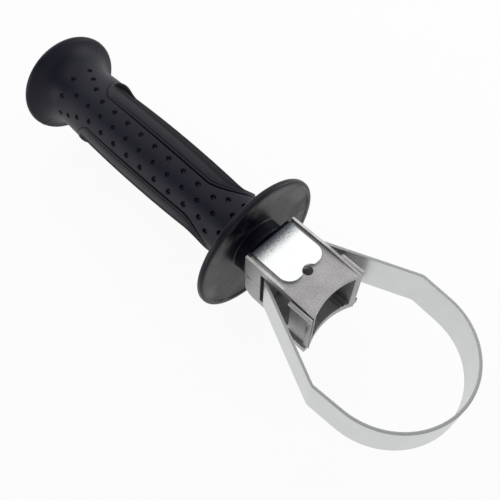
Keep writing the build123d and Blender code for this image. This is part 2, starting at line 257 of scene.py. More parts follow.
def add_node(tree, kind, sockets=None, **settings):
    """Adds a node, sets its options, and feeds its sockets with values or other sockets."""
    made = tree.nodes.new(kind)
    for name, value in settings.items():
        setattr(made, name, value)
    for socket, value in (sockets or {}).items():
        if isinstance(value, bpy.types.NodeSocket):
            tree.links.new(value, made.inputs[socket])
        else:
            made.inputs[socket].default_value = value
    return made


def math_node(tree, operation, *values):
    """A Math node's result."""
    return add_node(tree, "ShaderNodeMath", dict(enumerate(values)), operation=operation).outputs[0]


def remap(tree, value, source=(0.0, 1.0), target=(0.0, 1.0), kind="LINEAR"):
    """A value carried from one range to another and held at its ends."""
    return add_node(tree, "ShaderNodeMapRange", {
        "Value": value, "From Min": source[0], "From Max": source[1],
        "To Min": target[0], "To Max": target[1],
    }, interpolation_type=kind).outputs[0]


def blend(tree, kind, mask, low, high):
    """A value or colour that goes from low to high with a mask."""
    first, second, result = MIX_SOCKETS[kind]
    mix = add_node(tree, "ShaderNodeMix", {"Factor": mask, first: low, second: high}, data_type=kind)
    return mix.outputs[result]


def new_piece(name, data):
    """Puts a mesh, a lamp or the camera into the scene as an object at the origin."""
    piece = bpy.data.objects.new(name, data)
    bpy.context.scene.collection.objects.link(piece)
    return piece


def mesh_of(bm, name, smooth=lambda face: True):
    """Makes a mesh of what was built, its faces shaded smooth where a test says so."""
    for face in bm.faces:
        face.smooth = smooth(face)
    mesh = bpy.data.meshes.new(name)
    bm.to_mesh(mesh)
    bm.free()
    return mesh


def add_face(bm, corners):
    """Adds a face on the corners that differ, where they are three or more."""
    face = [v for i, v in enumerate(corners) if v not in corners[:i]]
    if len(face) > 2:
        bm.faces.new(face)


def add_ring(bm, x, radius, turns):
    """Adds points round the handle's axis, or one point for all turns where the radius is 0."""
    if radius < MERGE:
        return [bm.verts.new((x, 0, 0))] * len(turns)
    return [bm.verts.new(ring_point(x, radius, turn)) for turn in turns]


def finish_piece(piece, material, body, slot, *replaced):
    """Bakes the piece's modifiers, gives it its material, and ties it to the frame."""
    depsgraph = bpy.context.evaluated_depsgraph_get()
    mesh = bpy.data.meshes.new_from_object(piece.evaluated_get(depsgraph))
    piece.modifiers.clear()
    piece.data = mesh
    mesh.name = piece.name
    mesh.materials.clear()
    mesh.materials.append(material)
    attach(piece, body)
    if replaced:
        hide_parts(*replaced)


# Outlines and profiles


def ring_point(x, radius, turn):
    """A point on a circle about the handle's axis, turned from Z towards -Y."""
    return Vector((x, -radius * math.sin(turn), radius * math.cos(turn)))


def arc_points(centre, radius, start, end, steps):
    """Points of an arc in the plane of the profile, its ends included."""
    angles = np.linspace(start, end, steps + 1)
    return [(centre[0] + radius * math.cos(a), centre[1] + radius * math.sin(a)) for a in angles]


def belly_circle():
    """Centre and radius of the circle through the neck, belly and waist of the grip."""
    (ax, ay), (bx, by), (cx, cy) = (NECK_X, NECK_R), (BELLY_X, BELLY_R), (WAIST_X, WAIST_R)
    twice = 2 * (ax * (by - cy) + bx * (cy - ay) + cx * (ay - by))
    a, b, c = ax * ax + ay * ay, bx * bx + by * by, cx * cx + cy * cy
    x = (a * (by - cy) + b * (cy - ay) + c * (ay - by)) / twice
    y = (a * (cx - bx) + b * (ax - cx) + c * (bx - ax)) / twice
    return (x, y), math.hypot(ax - x, ay - y)


def grip_profile():
    """The rubber's outside from its shoulder at the guard to the edge of its butt face."""
    middle, radius = belly_circle()
    start = math.atan2(NECK_R - middle[1], NECK_X - middle[0])
    end = math.atan2(WAIST_R - middle[1], WAIST_X - middle[0])
    points = arc_points((NECK_X, NECK_R - SHOULDER_R), SHOULDER_R, 0, QUARTER, SHOULDER_STEPS)
    points += arc_points(middle, radius, start, end, BELLY_STEPS)[1:]
    points += [(FLARE_X + WAIST_RUN / 2, WAIST_R)]
    flare_middle = (FLARE_X, WAIST_R + FLARE_CURVE_R)
    points += arc_points(flare_middle, FLARE_CURVE_R, -QUARTER, -QUARTER - FLARE_TURN, FLARE_STEPS)
    rim_middle = (BUTT_RIM, FLARE_R - BUTT_EDGE_R)
    points += arc_points(rim_middle, BUTT_EDGE_R, QUARTER - FLARE_TURN, math.pi, BUTT_STEPS)[1:]
    return np.array(points)


class Skin:
    """The grip's outer surface, addressed by a run along its profile and a turn off a crown."""

    def __init__(self):
        self.points = grip_profile()
        steps = np.linalg.norm(np.diff(self.points, axis=0), axis=1)
        self.runs = np.concatenate([[0], np.cumsum(steps)])
        tangents = np.gradient(self.points, self.runs, axis=0)
        self.normals = np.stack([tangents[:, 1], -tangents[:, 0]], axis=1)
        self.normals /= np.linalg.norm(self.normals, axis=1)[:, None]
        self.end = self.runs[-1]

    def station(self, run):
        """Place along the handle and radius at a run."""
        return [float(np.interp(run, self.runs, self.points[:, axis])) for axis in (0, 1)]

    def run_at(self, x):
        """Run at a place along the handle."""
        return float(np.interp(-x, -self.points[:, 0], self.runs))

    def radius_at(self, x):
        """Radius at a place along the handle."""
        return float(np.interp(-x, -self.points[:, 0], self.points[:, 1]))

    def outward(self, run, turn):
        """Direction out of the surface."""
        along, out = (np.interp(run, self.runs, self.normals[:, axis]) for axis in (0, 1))
        return ring_point(along, out, GRIP_ROLL + turn)

    def point(self, run, turn, depth=0.0):
        """A point on the surface, or that far under it."""
        x, radius = self.station(run)
        return ring_point(x, radius, GRIP_ROLL + turn) - self.outward(run, turn) * depth


skin = Skin()


def panel_outline(margin):
    """Half of the side panel's outline, from its guard end to its butt end: places and heights."""
    quarter = np.linspace(0, QUARTER, PANEL_STEPS)
    places = [PANEL_GUARD_MIDDLE + PANEL_GUARD_TAPER * math.cos(a) for a in quarter]
    places += list(np.linspace(PANEL_GUARD_MIDDLE, PANEL_BUTT_MIDDLE, 2 * PANEL_STEPS))[1:-1]
    places += [PANEL_BUTT_MIDDLE - PANEL_BUTT_TAPER * math.sin(a) for a in quarter]
    # The margin is laid off along the surface: runs, and arcs from the panel's middle line
    radii = [skin.radius_at(x) for x in places]
    arcs = [r * math.asin(min(1.0, panel_half_height(x) / r)) for x, r in zip(places, radii)]
    line = np.array([(skin.run_at(x), arc) for x, arc in zip(places, arcs)])
    mirrored = np.concatenate([line[1:2] * (1, -1), line, line[-2:-1] * (1, -1)])
    along = np.gradient(mirrored, axis=0)[1:-1]
    inward = np.stack([along[:, 1], -along[:, 0]], axis=1)
    inward *= -np.sign(inward[len(line) // 2, 1]) / np.linalg.norm(inward, axis=1)[:, None]
    margins = margin * np.interp(places, EDGE_PLACES, EDGE_WIDTHS)
    outline = []
    for run, arc in line + inward * margins[:, None]:
        x, radius = skin.station(run)
        outline.append((x, radius * math.sin(max(0.0, float(arc)) / radius)))
    return outline


def edge_depth(x, depth):
    """How deep a row of the panel's edge lies at a place along the handle."""
    share = (x - PANEL_BUTT_END) / EDGE_FADE_RUN
    return depth * MM * float(np.interp(share, (0, 1), (EDGE_FADE_DEPTH, 1)))


def recess_outline(margin):
    """Half of the finger recess's outline, from its guard end to its butt end."""
    half = RECESS_HALF_H - margin
    reach = RECESS_GUARD_TAPER - margin
    corner = RECESS_CORNER_R - margin
    points = []
    for a in np.linspace(0, QUARTER, RECESS_STEPS):
        points.append((RECESS_MIDDLE + reach * math.cos(a), half * math.sin(a)))
    for share in np.linspace(0, 1, 3 * RECESS_STEPS)[1:-1]:
        points.append((RECESS_MIDDLE + (RECESS_CORNER_X - RECESS_MIDDLE) * share, half))
    middle = (RECESS_CORNER_X, RECESS_CORNER_H)
    points += arc_points(middle, corner, QUARTER, math.pi, RECESS_CORNER_STEPS)
    for share in (0.75, 0.5, 0.25, 0.0):
        points.append((RECESS_CORNER_X - corner, RECESS_CORNER_H * share))
    return points


def recess_half_height(x):
    """Half height of the finger recess at a place along the handle, or 0 outside it."""
    if x > RECESS_GUARD_END or x < RECESS_BUTT_END:
        return 0.0
    if x > RECESS_MIDDLE:
        return RECESS_HALF_H * math.sqrt(1 - ((x - RECESS_MIDDLE) / RECESS_GUARD_TAPER) ** 2)
    corner = RECESS_CORNER_X - x
    if corner > 0:
        return RECESS_CORNER_H + math.sqrt(RECESS_CORNER_R**2 - corner**2)
    return RECESS_HALF_H


def near_recess_end(x, height):
    """True just outside the recess's two ends, where its own rows lie."""
    at_butt = RECESS_BUTT_END - RECESS_CLEAR_OUT < x < RECESS_BUTT_END
    at_guard = RECESS_GUARD_END < x < RECESS_GUARD_END + RECESS_CLEAR_OUT
    return at_butt and abs(height) < RECESS_HALF_H or at_guard and abs(height) < RECESS_HALF_H / 2


def panel_half_height(x, margin=0.0):
    """Half height of the side panel at a place along the handle, or 0 outside it."""
    radius = skin.radius_at(x)
    side = radius * math.sin(PANEL_HALF_TURN - margin / radius)
    if x > PANEL_GUARD_MIDDLE:
        middle, past, taper = PANEL_GUARD_MIDDLE, x - PANEL_GUARD_MIDDLE, PANEL_GUARD_TAPER
    elif x < PANEL_BUTT_MIDDLE:
        middle, past, taper = PANEL_BUTT_MIDDLE, PANEL_BUTT_MIDDLE - x, PANEL_BUTT_TAPER
    else:
        return side
    share = past / (taper - margin)
    end = skin.radius_at(middle) * math.sin(PANEL_END_TURN) - margin
    return min(side, end * math.sqrt(1 - share * share)) if share < 1 else 0.0


def dimple_places():
    """Run and turn of each dimple of one crown."""
    rows = int((GUARD_FACE - BUTT_RIM - DIMPLE_FIRST - DIMPLE_LAST) / DIMPLE_PITCH) + 1
    places = [(GUARD_FACE - DIMPLE_FIRST - k * DIMPLE_PITCH, 0) for k in range(rows)]
    for side in (-1, 1):
        for k in range(rows - 2):
            x = GUARD_FACE - DIMPLE_FIRST - (k + 0.5) * DIMPLE_PITCH
            places.append((x, side * DIMPLE_ROW_TURN))
        places += [(GUARD_FACE - gap * MM, side * turn) for gap, turn in GUARD_FAN]
        places += [(BUTT_RIM + gap * MM, side * turn) for gap, turn in BUTT_FAN]
    return [(skin.run_at(x), math.radians(turn)) for x, turn in places]


class SkinMap:
    """Points of a flat map of the skin, with the depth of each, and their triangles."""

    def __init__(self):
        self.flat = []
        self.depth = []
        self.edges = []

    def add(self, run, turn, depth=0.0):
        """Adds a point and returns its number."""
        self.flat.append(Vector((run, turn * SKIN_R)) / MM)
        self.depth.append(depth)
        return len(self.flat) - 1

    def add_row(self, row, closed=False):
        """Adds a line of points that triangles don't cross."""
        ids = [self.add(*point) for point in row]
        self.edges += list(zip(ids, ids[1:]))
        if closed:
            self.edges.append((ids[-1], ids[0]))

    def triangles(self, keep):
        """Triangulates the map and keeps the triangles whose middle passes a test of run and turn."""
        verts, _, faces, origins, _, _ = delaunay_2d_cdt(self.flat, self.edges, [], 0, MAP_TOLERANCE)
        depths = [self.depth[o[0]] if o else 0.0 for o in origins]
        points = [(v.x * MM, v.y * MM / SKIN_R) for v in verts]
        middles = [[sum(points[i][axis] for i in face) / 3 for axis in (0, 1)] for face in faces]
        return points, depths, [face for face, middle in zip(faces, middles) if keep(*middle)]


def edge_row(outline, side, turn_of, depth_of):
    """An outline as points of the skin's map: run, turn and depth."""
    row = []
    for x, height in outline:
        run = skin.run_at(x)
        radius = skin.station(run)[1]
        row.append((run, side * turn_of(min(1.0, height / radius)), depth_of(x)))
    return row


def skin_solid(bm, points, depths, faces, back, walled):
    """Adds a mapped patch of skin with its back, and a wall at each open edge that passes a test.

    Returns the outer and the inner points by their number in the map.
    """
    outward = bm.verts.layers.float_vector.new("outward")
    outer = {}
    inner = {}
    for i in sorted({i for face in faces for i in face}):
        run, turn = points[i]
        outer[i] = bm.verts.new(skin.point(run, turn, depths[i]))
        outer[i][outward] = skin.outward(run, turn)
        inner[i] = bm.verts.new(back(run, turn))
    for face in faces:
        bm.faces.new([outer[i] for i in face])
        bm.faces.new([inner[i] for i in reversed(face)])
    edges = {edge: None for face in faces for edge in zip(face, face[1:] + face[:1])}
    for a, b in edges:
        if (b, a) not in edges and walled(points[a], points[b]):
            bm.faces.new([outer[b], outer[a], inner[a], inner[b]])
    return outer, inner


# Shader groups and materials


def new_group(name, inputs, outputs):
    """An empty shader group with its sockets. Returns it with its inputs and the object's places."""
    tree = bpy.data.node_groups.new(name, "ShaderNodeTree")
    for socket, kind, default in inputs:
        tree.interface.new_socket(socket, in_out="INPUT", socket_type=kind).default_value = default
    for socket in outputs:
        tree.interface.new_socket(socket, in_out="OUTPUT", socket_type="NodeSocketFloat")
    given = add_node(tree, "NodeGroupInput").outputs
    return tree, given, add_node(tree, "ShaderNodeTexCoord").outputs["Object"]


def grain_group():
    """Fine even grain of a moulded or cast surface, and the broad unevenness under it."""
    tree, given, where = new_group("surface_grain", (
        ("Grain Size", "NodeSocketFloat", 0.4),
        ("Patch Size", "NodeSocketFloat", 12.0),
    ), ("Grain", "Patches"))
    made = {}
    for output, size, detail in (("Grain", "Grain Size", 3.0), ("Patches", "Patch Size", 4.0)):
        scale = math_node(tree, "DIVIDE", 1 / MM, given[size])
        noise = add_node(tree, "ShaderNodeTexNoise", {"Vector": where, "Scale": scale, "Detail": detail})
        made[output] = noise.outputs["Fac"]
    add_node(tree, "NodeGroupOutput", made)


def rub_group():
    """Thin scratches from handling, laid one way, as a mask."""
    tree, given, where = new_group("handling_rubs", (
        ("Stretch", "NodeSocketVector", (1.0, 12.0, 12.0)),
        ("Spacing", "NodeSocketFloat", 3.0),
        ("Amount", "NodeSocketFloat", 0.3),
    ), ("Rubs",))
    drawn = add_node(tree, "ShaderNodeMapping", {"Vector": where, "Scale": given["Stretch"]}).outputs[0]
    scale = math_node(tree, "DIVIDE", 1 / MM, given["Spacing"])
    lines = add_node(tree, "ShaderNodeTexNoise", {"Vector": drawn, "Scale": scale, "Detail": 2.0})
    cut = math_node(tree, "SUBTRACT", 1.0, given["Amount"])
    sharp = remap(tree, lines.outputs["Fac"], (cut, math_node(tree, "ADD", cut, RUB_EDGE)))
    add_node(tree, "NodeGroupOutput", {"Rubs": sharp})


def plain_material(name, colour, rough, metallic=0.0, specular=0.5):
    """A material with a Principled BSDF and its plain values. Returns it with its tree and shader."""
    material = bpy.data.materials.new(name)
    material.use_nodes = True
    tree = material.node_tree
    shader = tree.nodes["Principled BSDF"]
    for socket, value in (("Base Color", (*colour, 1)), ("Roughness", rough),
                          ("Metallic", metallic), ("Specular IOR Level", specular)):
        shader.inputs[socket].default_value = value
    return material, tree, shader


def add_group(tree, name, sockets):
    """Places a shader group under its own name. Returns its outputs."""
    group = bpy.data.node_groups[name]
    return add_node(tree, "ShaderNodeGroup", sockets, node_tree=group, name=name).outputs


def shade_of(colour, share):
    """A darker or lighter shade of a colour."""
    return tuple(c * share for c in colour)


def toned(tree, mask, colour, spread):
    """A colour that turns darker and lighter with a mask."""
    low, high = ((*shade_of(colour, share), 1) for share in (1 - spread, 1 + spread))
    return blend(tree, "RGBA", mask, low, high)


def around(tree, mask, value, spread):
    """A value that falls and rises with a mask."""
    return remap(tree, mask, target=(value - spread, value + spread))


def feed(tree, shader, colour, rough, grain, strength, depth):
    """Feeds a shader its colour and roughness, and the relief of a grain that is depth mm deep."""
    relief = {"Height": grain, "Strength": strength, "Distance": depth * MM}
    normal = add_node(tree, "ShaderNodeBump", relief).outputs[0]
    for socket, value in (("Base Color", colour), ("Roughness", rough), ("Normal", normal)):
        tree.links.new(value, shader.inputs[socket])


def moulded_material(name, colour, rough, specular, grain_size, grain_depth):
    """Moulded rubber or plastic: fine grain and a broad uneven sheen."""
    material, tree, shader = plain_material(name, colour, rough, specular=specular)
    grain = add_group(tree, "surface_grain", {"Grain Size": grain_size})
    tones = toned(tree, grain["Patches"], colour, MOULDED_SPREAD)
    sheen = around(tree, grain["Patches"], rough, MOULDED_SHEEN)
    feed(tree, shader, tones, sheen, grain["Grain"], MOULDED_BUMP, grain_depth)
    return material


def metal_material(name, colour, rough, grain_size, grain_depth, stretch,
                   rubs=0.3, spread=0.06, speckle=0.0):
    """Bare or plated metal: grain, cloudy plating, speckles and thin rubs."""
    material, tree, shader = plain_material(name, colour, rough, metallic=1.0)
    grain = add_group(tree, "surface_grain", {"Grain Size": grain_size})
    lines = add_group(tree, "handling_rubs", {"Stretch": stretch, "Amount": rubs})
    clouds = blend(tree, "FLOAT", speckle, grain["Patches"], grain["Grain"])
    tones = toned(tree, clouds, colour, spread + speckle)
    even = around(tree, grain["Grain"], rough, METAL_SHEEN)
    sheen = math_node(tree, "MULTIPLY_ADD", lines["Rubs"], RUB_ROUGH, even)
    feed(tree, shader, tones, sheen, grain["Grain"], METAL_BUMP, grain_depth)
    return material


def stored(material, name):
    """A mask stored on the mesh's points."""
    return add_node(material.node_tree, "ShaderNodeAttribute", attribute_name=name).outputs["Fac"]


def object_place(material, axis):
    """The place along one axis of the frame."""
    where = add_node(material.node_tree, "ShaderNodeTexCoord").outputs["Object"]
    return add_node(material.node_tree, "ShaderNodeSeparateXYZ", {0: where}).outputs[axis]


def patchy(material, mask, low, high):
    """A mask broken up by the broad unevenness of the material's own grain."""
    tree = material.node_tree
    patches = tree.nodes["surface_grain"].outputs["Patches"]
    return math_node(tree, "MULTIPLY", mask, remap(tree, patches, (low, high)))


def coat(material, mask, colour, rough):
    """Lays another colour and roughness over a material where a mask says so."""
    tree = material.node_tree
    shader = tree.nodes["Principled BSDF"]
    for name, kind, value in (("Base Color", "RGBA", (*colour, 1)), ("Roughness", "FLOAT", rough)):
        socket = shader.inputs[name]
        under = socket.links[0].from_socket
        tree.links.new(blend(tree, kind, mask, under, value), socket)


# Settings


def length(name, description, default):
    """A length setting."""
    return FloatProperty(name=name, description=description, default=default, unit="LENGTH", precision=5)


def tone(name, description, default):
    """A colour setting."""
    return FloatVectorProperty(name=name, description=description, default=default,
                               size=3, min=0, max=1, subtype="COLOR")


def power(name, description, default):
    """A lamp's power setting."""
    return FloatProperty(name=name, description=description, default=default, unit="POWER")


class SIDEHANDLE_PG_grip(PropertyGroup):
    """Sizes and colours of the grip, its guard and its panels."""

    dimple_radius: length("Dimple Radius", "Radius of a dimple at the rubber's surface", 1.5 * MM)
    dimple_floor: length("Dimple Floor", "Radius of a dimple's flat floor", 0.75 * MM)
    dimple_depth: length("Dimple Depth", "Depth of a dimple in the rubber", 1.35 * MM)
    dimple_lip: length("Dimple Lip", "How far a dimple's rim rounds over", 0.15 * MM)
    rubber_colour: tone("Rubber", "Colour of the soft rubber", (0.0045, 0.0047, 0.0150))
    # Painted reflection: a lighter brownish colour laid in patches over the guard's face, standing in for
    # the floor it reflects
    guard_reflection_colour: tone("Dust", "Colour of the dust on the guard's face", (0.19, 0.18, 0.172))
    plastic_colour: tone("Plastic", "Colour of the hard plastic", (0.0042, 0.0046, 0.0125))


class SIDEHANDLE_PG_clamp(PropertyGroup):
    """Sizes and colours of the casting, plate, strap and bolt."""

    cast_edge: length("Casting Edge", "Rounding of the casting's edges", 0.3 * MM)
    sheet_edge: length("Sheet Edge", "Rounding of the plate's and strap's edges", 0.22 * MM)
    alloy_colour: tone("Cast Alloy", "Colour of the casting", (0.41, 0.40, 0.40))
    # A lighter, smoother colour laid in patches on the tops of the rails
    rail_top_colour: tone("Worn Alloy", "Colour of the casting where it is rubbed bright", (0.60, 0.59, 0.58))
    plate_colour: tone("Plate", "Colour of the bright plate", (0.86, 0.88, 0.87))
    # Painted reflection: the dark guard's reflection on the plate's rear, laid in as a dark colour
    plate_reflection_colour: tone("Film", "Colour of the dark film next to the hub", (0.085, 0.093, 0.112))
    strap_colour: tone("Strap", "Colour of the strap", (0.60, 0.62, 0.61))
    strap_edge_colour: tone("Strap Edge", "Colour of the strap's cut edges", (0.42, 0.43, 0.44))
    bolt_colour: tone("Bolt", "Colour of the bolt and nut", (0.60, 0.61, 0.60))


class SIDEHANDLE_PG_stage(PropertyGroup):
    """Floor and lamps."""

    floor_colour: tone("Floor", "Colour of the floor", (0.9, 0.9, 0.9))
    daylight: FloatProperty(name="Daylight", description="Strength of the light from all round",
                            default=0.3, min=0, max=1, subtype="FACTOR")
    key_power: power("Key Lamp", "Power of the large lamp", 2.8)
    side_power: power("Side Lamp", "Power of the side lamp", 0.7)
    back_power: power("Back Lamp", "Power of the lamp behind", 1.3)


# Pieces


def lathe(name, profile):
    """Turns a profile of places and radii about the handle's axis into a closed mesh."""
    bm = bmesh.new()
    turns = [2 * math.pi * k / LATHE_STEPS for k in range(LATHE_STEPS)]
    rings = [add_ring(bm, x, radius, turns) for x, radius in profile]
    for low, high in zip(rings, rings[1:]):
        for k in range(LATHE_STEPS):
            add_face(bm, [low[k], low[k - 1], high[k - 1], high[k]])
    bmesh.ops.recalc_face_normals(bm, faces=bm.faces)
    return mesh_of(bm, name)


def rounded_profile(points):
    """A profile of places, radii and corner roundings, with each rounded corner as an arc."""
    made = []
    for i, (x, r, rounding) in enumerate(points):
        here = Vector((x, r))
        if not rounding:
            made.append(here)
            continue
        before = (Vector(points[i - 1][:2]) - here).normalized()
        after = (Vector(points[i + 1][:2]) - here).normalized()
        half = before.angle(after) / 2
        reach = rounding / math.tan(half)
        middle = here + (before + after).normalized() * (rounding / math.sin(half))
        start, end = here + before * reach - middle, here + after * reach - middle
        turn = math.atan2(start.x * end.y - start.y * end.x, start.dot(end))
        for k in range(CORNER_STEPS + 1):
            made.append(middle + Matrix.Rotation(turn * k / CORNER_STEPS, 2) @ start)
    return made


def rubber_half():
    """The near half of the rubber grip with its crown: points of its map, their depths, and faces."""
    grid = SkinMap()
    turns = np.linspace(-QUARTER, QUARTER, HALF_TURN_STEPS + 1)
    for run in (0.0, skin.end):
        grid.add_row([(run, turn, 0.0) for turn in turns])
    for side in (-1, 1):
        for margin, depth in RUBBER_LIP_ROWS:
            outline = panel_outline(margin * MM)
            grid.add_row(edge_row(outline, side, math.acos, lambda x: edge_depth(x, depth)))
    kept = []
    for run in skin.runs[1:-1]:
        x = skin.station(run)[0]
        if not kept or not WAIST_X < x < NECK_X or run - kept[-1] >= SKIN_STEP:
            kept.append(float(run))
    centres = dimple_places()
    clear = (DIMPLE_RINGS[-1] + DIMPLE_CLEAR) * MM
    for run in kept:
        x, radius = skin.station(run)
        half = panel_half_height(x, -RUBBER_CLEAR)
        for k in range(HALF_TURN_STEPS + 1):
            turn = -QUARTER + math.pi * k / HALF_TURN_STEPS
            if half and radius * math.cos(turn) < half:
                continue
            if any(math.hypot(run - r, (turn - t) * radius) < clear for r, t in centres):
                continue
            on_seam = k in (0, HALF_TURN_STEPS)
            grid.add(run, turn, -PARTING_H if on_seam and x > BUTT_RIM else 0.0)
            if on_seam:
                grid.add(run, turn * (1 - PARTING_W / (radius * QUARTER)), 0.0)
    for run, turn in centres:
        radius = skin.station(run)[1]
        grid.add(run, turn)
        for j, ring in enumerate(DIMPLE_RINGS):
            for k in range(DIMPLE_RING_POINTS):
                a = 2 * math.pi * (k + 0.5 * (j % 2)) / DIMPLE_RING_POINTS
                grid.add(run + ring * MM * math.cos(a), turn + ring * MM * math.sin(a) / radius)

    def on_rubber(run, turn):
        x, radius = skin.station(run)
        return radius * math.cos(turn) > panel_half_height(x)

    return grid.triangles(on_rubber)


def rubber_back(run, turn):
    """The rubber's inside, against the core."""
    behind = skin.point(run, turn, min(SOFT_T, SOFT_END_T + SOFT_GROWTH * run))
    return Vector((min(behind.x, GRIP_START), behind.y, behind.z))


def press_tree(material):
    """Geometry nodes that press dimples into the rubber, then copy the half round the handle."""
    tree = bpy.data.node_groups.new("press_dimples", "GeometryNodeTree")
    face = tree.interface
    face.new_socket("Geometry", in_out="INPUT", socket_type="NodeSocketGeometry")
    face.new_socket("Centres", in_out="INPUT", socket_type="NodeSocketObject")
    for name in ("Radius", "Floor", "Depth", "Lip"):
        face.new_socket(name, in_out="INPUT", socket_type="NodeSocketFloat")
    face.new_socket("Geometry", in_out="OUTPUT", socket_type="NodeSocketGeometry")
    given = add_node(tree, "NodeGroupInput").outputs
    centres = add_node(tree, "GeometryNodeObjectInfo", {"Object": given["Centres"]})
    near = add_node(tree, "GeometryNodeProximity", {"Geometry": centres.outputs["Geometry"]},
                    target_element="POINTS")
    # Full depth inside the floor's radius, none outside the rim's, and a rounded slope between
    rim = math_node(tree, "ADD", given["Radius"], given["Lip"])
    slope = (given["Depth"], 0.0)
    sunk = remap(tree, near.outputs["Distance"], (given["Floor"], rim), slope, "SMOOTHSTEP")
    out = add_node(tree, "GeometryNodeInputNamedAttribute", {"Name": "outward"}, data_type="FLOAT_VECTOR")
    push = add_node(tree, "ShaderNodeVectorMath", {
        0: out.outputs[0], "Scale": math_node(tree, "MULTIPLY", sunk, -1.0),
    }, operation="SCALE").outputs[0]
    pressed = add_node(tree, "GeometryNodeSetPosition", {"Geometry": given["Geometry"], "Offset": push})
    far = add_node(tree, "GeometryNodeTransform", {
        "Geometry": pressed.outputs[0], "Rotation": (math.pi, 0.0, 0.0),
    })
    made = add_node(tree, "GeometryNodeJoinGeometry")
    for half in (far, pressed):
        tree.links.new(half.outputs[0], made.inputs[0])
    for kind, sockets in (
        ("GeometryNodeMergeByDistance", {"Distance": MERGE}),
        ("GeometryNodeRealizeInstances", {}),
        ("GeometryNodeSetShadeSmooth", {}),
        ("GeometryNodeSetMaterial", {"Material": material}),
        ("NodeGroupOutput", {}),
    ):
        made = add_node(tree, kind, {"Geometry": made.outputs[0], **sockets})
    return tree


def give_tree(piece, tree, **values):
    """Adds a geometry nodes modifier and sets its named inputs."""
    modifier = piece.modifiers.new(tree.name, "NODES")
    modifier.node_group = tree
    for item in tree.interface.items_tree:
        if item.in_out == "INPUT" and item.name in values:
            modifier[item.identifier] = values[item.name]


class SIDEHANDLE_OT_rubber(Operator):
    """Soft rubber grip with its dimpled crowns and flared end"""

    bl_idname = "sidehandle.rubber"
    bl_label = "Rubber Grip"

    def execute(self, context):
        settings = context.scene.sidehandle_grip
        material = moulded_material("soft_rubber", settings.rubber_colour, rough=0.46, specular=0.25,
                                    grain_size=0.28, grain_depth=0.05)
        points, depths, faces = rubber_half()

        def walled(a, b):
            on_seam = all(abs(abs(turn) - QUARTER) < SEAM_TOLERANCE for _, turn in (a, b))
            return not on_seam and min(a[0], b[0]) < skin.end - MERGE

        bm = bmesh.new()
        shells = skin_solid(bm, points, depths, faces, rubber_back, walled)
        # Both shells are closed over the butt face by rings of points round its middle
        for shell, order in zip(shells, (-1, 1)):
            edge = sorted((points[i][1], v) for i, v in shell.items() if points[i][0] > skin.end - MERGE)
            turns = [GRIP_ROLL + turn for turn, _ in edge]
            row = [v for _, v in edge]
            for radius in BUTT_RINGS:
                inside = add_ring(bm, row[0].co.x, radius, turns)
                for k in range(len(row) - 1):
                    add_face(bm, [row[k], row[k + 1], inside[k + 1], inside[k]][::order])
                row = inside
        piece = new_piece("rubber_grip", mesh_of(bm, "rubber_grip"))
        marks = bpy.data.meshes.new("dimple_centres")
        marks.from_pydata([skin.point(*spot) for spot in dimple_places()], [], [])
        centres = new_piece("dimple_centres", marks)
        give_tree(piece, press_tree(material), Centres=centres, Radius=settings.dimple_radius,
                  Floor=settings.dimple_floor, Depth=settings.dimple_depth, Lip=settings.dimple_lip)
        finish_piece(piece, material, "grip", "soft_rubber", "soft_grip")
        bpy.data.objects.remove(centres)
        return {"FINISHED"}


def side_pad():
    """One side panel with its groove, lip and finger recess, as a closed solid, on the +90 side."""
    grid = SkinMap()

    def add_loop(half, depth_of):
        there = edge_row(half, -1, math.asin, depth_of)
        back = edge_row(half[::-1][1:-1], 1, math.asin, depth_of)
        grid.add_row(there + back, closed=True)

    for margin, depth in GROOVE_ROWS:
        add_loop(panel_outline(margin * MM), lambda x: edge_depth(x, depth))
    for margin, depth in RECESS_ROWS:
        add_loop(recess_outline(margin * MM), lambda x: depth * MM)
    floor_depth = RECESS_ROWS[-1][1] * MM
    x = PANEL_GUARD_END
    while x > PANEL_BUTT_END:
        x -= SKIN_STEP
        run = skin.run_at(x)
        radius = skin.station(run)[1]
        recess = recess_half_height(x)
        inside = panel_half_height(x, (GROOVE_ROWS[-1][0] + PANEL_CLEAR) * MM)
        for k in range(-PAD_HALF_COLUMNS, PAD_HALF_COLUMNS + 1):
            height = radius * math.sin(k * SKIN_STEP / radius)
            if recess:
                taken = recess - RECESS_CLEAR_IN < abs(height) < recess + RECESS_CLEAR_OUT
            else:
                taken = near_recess_end(x, height)
            if abs(height) < inside and not taken:
                grid.add(run, math.asin(height / radius), floor_depth if abs(height) < recess else 0.0)

    def on_panel(run, turn):
        x, radius = skin.station(run)
        return radius * abs(math.sin(turn)) < panel_half_height(x)

    points, depths, faces = grid.triangles(on_panel)
    points = [(run, turn + QUARTER) for run, turn in points]
    bm = bmesh.new()
    back = partial(skin.point, depth=PAD_BACK)
    skin_solid(bm, points, depths, faces, back, lambda a, b: True)
    bmesh.ops.recalc_face_normals(bm, faces=bm.faces)
    return mesh_of(bm, "side_pad")


def mark_core(mesh):
    """Stores painted shade where the core is sunk under the grip's surface, and a painted reflection on
    the guard's face.
    """
    places = np.empty(len(mesh.vertices) * 3)
    mesh.vertices.foreach_get("co", places)
    x, y, z = places.reshape(-1, 3).T
    surface = np.interp(-x, -skin.points[:, 0], skin.points[:, 1])
    radius = np.hypot(y, z)
    # Painted shade mask: 1 where the core lies SUNK_DEPTH or more under the grip's surface, inside the
    # panels
    sunk = np.clip((surface - radius) / SUNK_DEPTH, 0, 1)
    sunk[(x > PANEL_GUARD_END) | (x < PANEL_BUTT_END)] = 0
    # Painted reflection mask on the guard's face, growing outward from the hub
    dusty = np.clip((radius - HUB_R) / GUARD_REFLECTION_SPREAD, 0, 1)
    dusty[(x < GUARD_FACE - GUARD_DISH - MERGE) | (radius > GUARD_R - GUARD_EDGE_R - MERGE)] = 0
    for name, values in (("sunk", sunk), ("dusty", dusty)):
        mesh.attributes.new(name, "FLOAT", "POINT").data.foreach_set("value", values)


